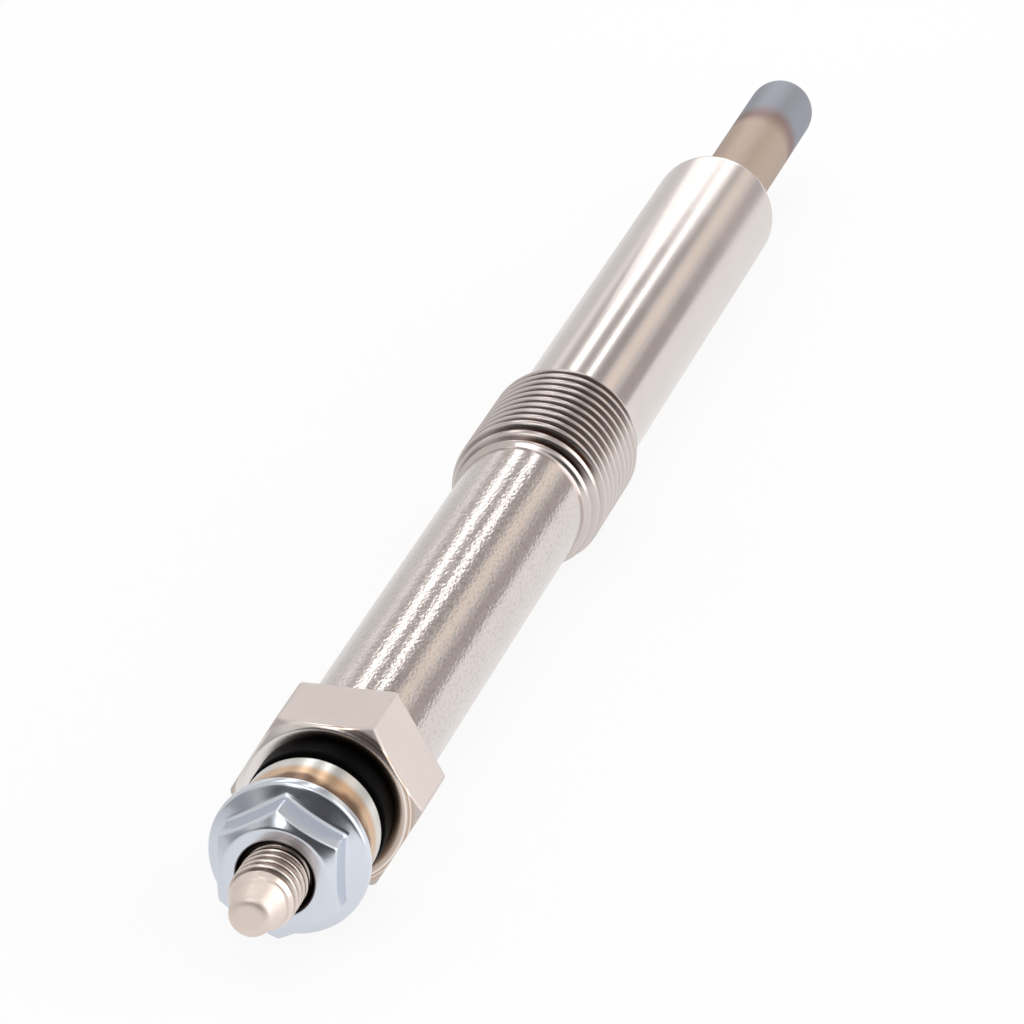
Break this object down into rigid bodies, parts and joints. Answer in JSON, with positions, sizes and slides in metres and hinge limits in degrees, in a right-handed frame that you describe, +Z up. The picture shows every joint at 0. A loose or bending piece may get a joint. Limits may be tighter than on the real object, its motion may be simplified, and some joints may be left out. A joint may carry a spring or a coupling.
{
  "type": "diesel glow plug",
  "caption": "Slim turned metal glow plug: hexagon and threaded body, insulated terminal stud with a flange nut, and a sheathed heating rod with a rounded hot tip.",
  "frame": {"origin": "middle of the plug's length, on the surface it lies on, under its axis", "axes": "+Y along the plug's axis towards the hot tip, +Z up from the flat of the hexagon that it lies on"},
  "size_m": [0.0116, 0.1362, 0.01],
  "materials": {
    "nickel_plate": "satin nickel plate",
    "sheath_alloy": "heat-tinted",
    "zinc_plate": "bright zinc plate",
    "round_nut_plate": "polished nickel",
    "coil_wire": "drawn wire",
    "magnesia": "pressed powder",
    "black_moulding": "moulded",
    "seal_rubber": "moulded rubber"
  },
  "bodies": {
    "root": {"body_shell": "nickel_plate", "heater_sheath": "sheath_alloy", "heating_coil": "coil_wire", "regulating_coil": "coil_wire", "insulating_fill": "magnesia", "centre_rod": "nickel_plate", "sheath_seal": "seal_rubber", "body_seal_ring": "seal_rubber", "insulating_bush": "black_moulding", "round_nut": "round_nut_plate", "flange_nut": "zinc_plate"}
  },
  "joints": []
}
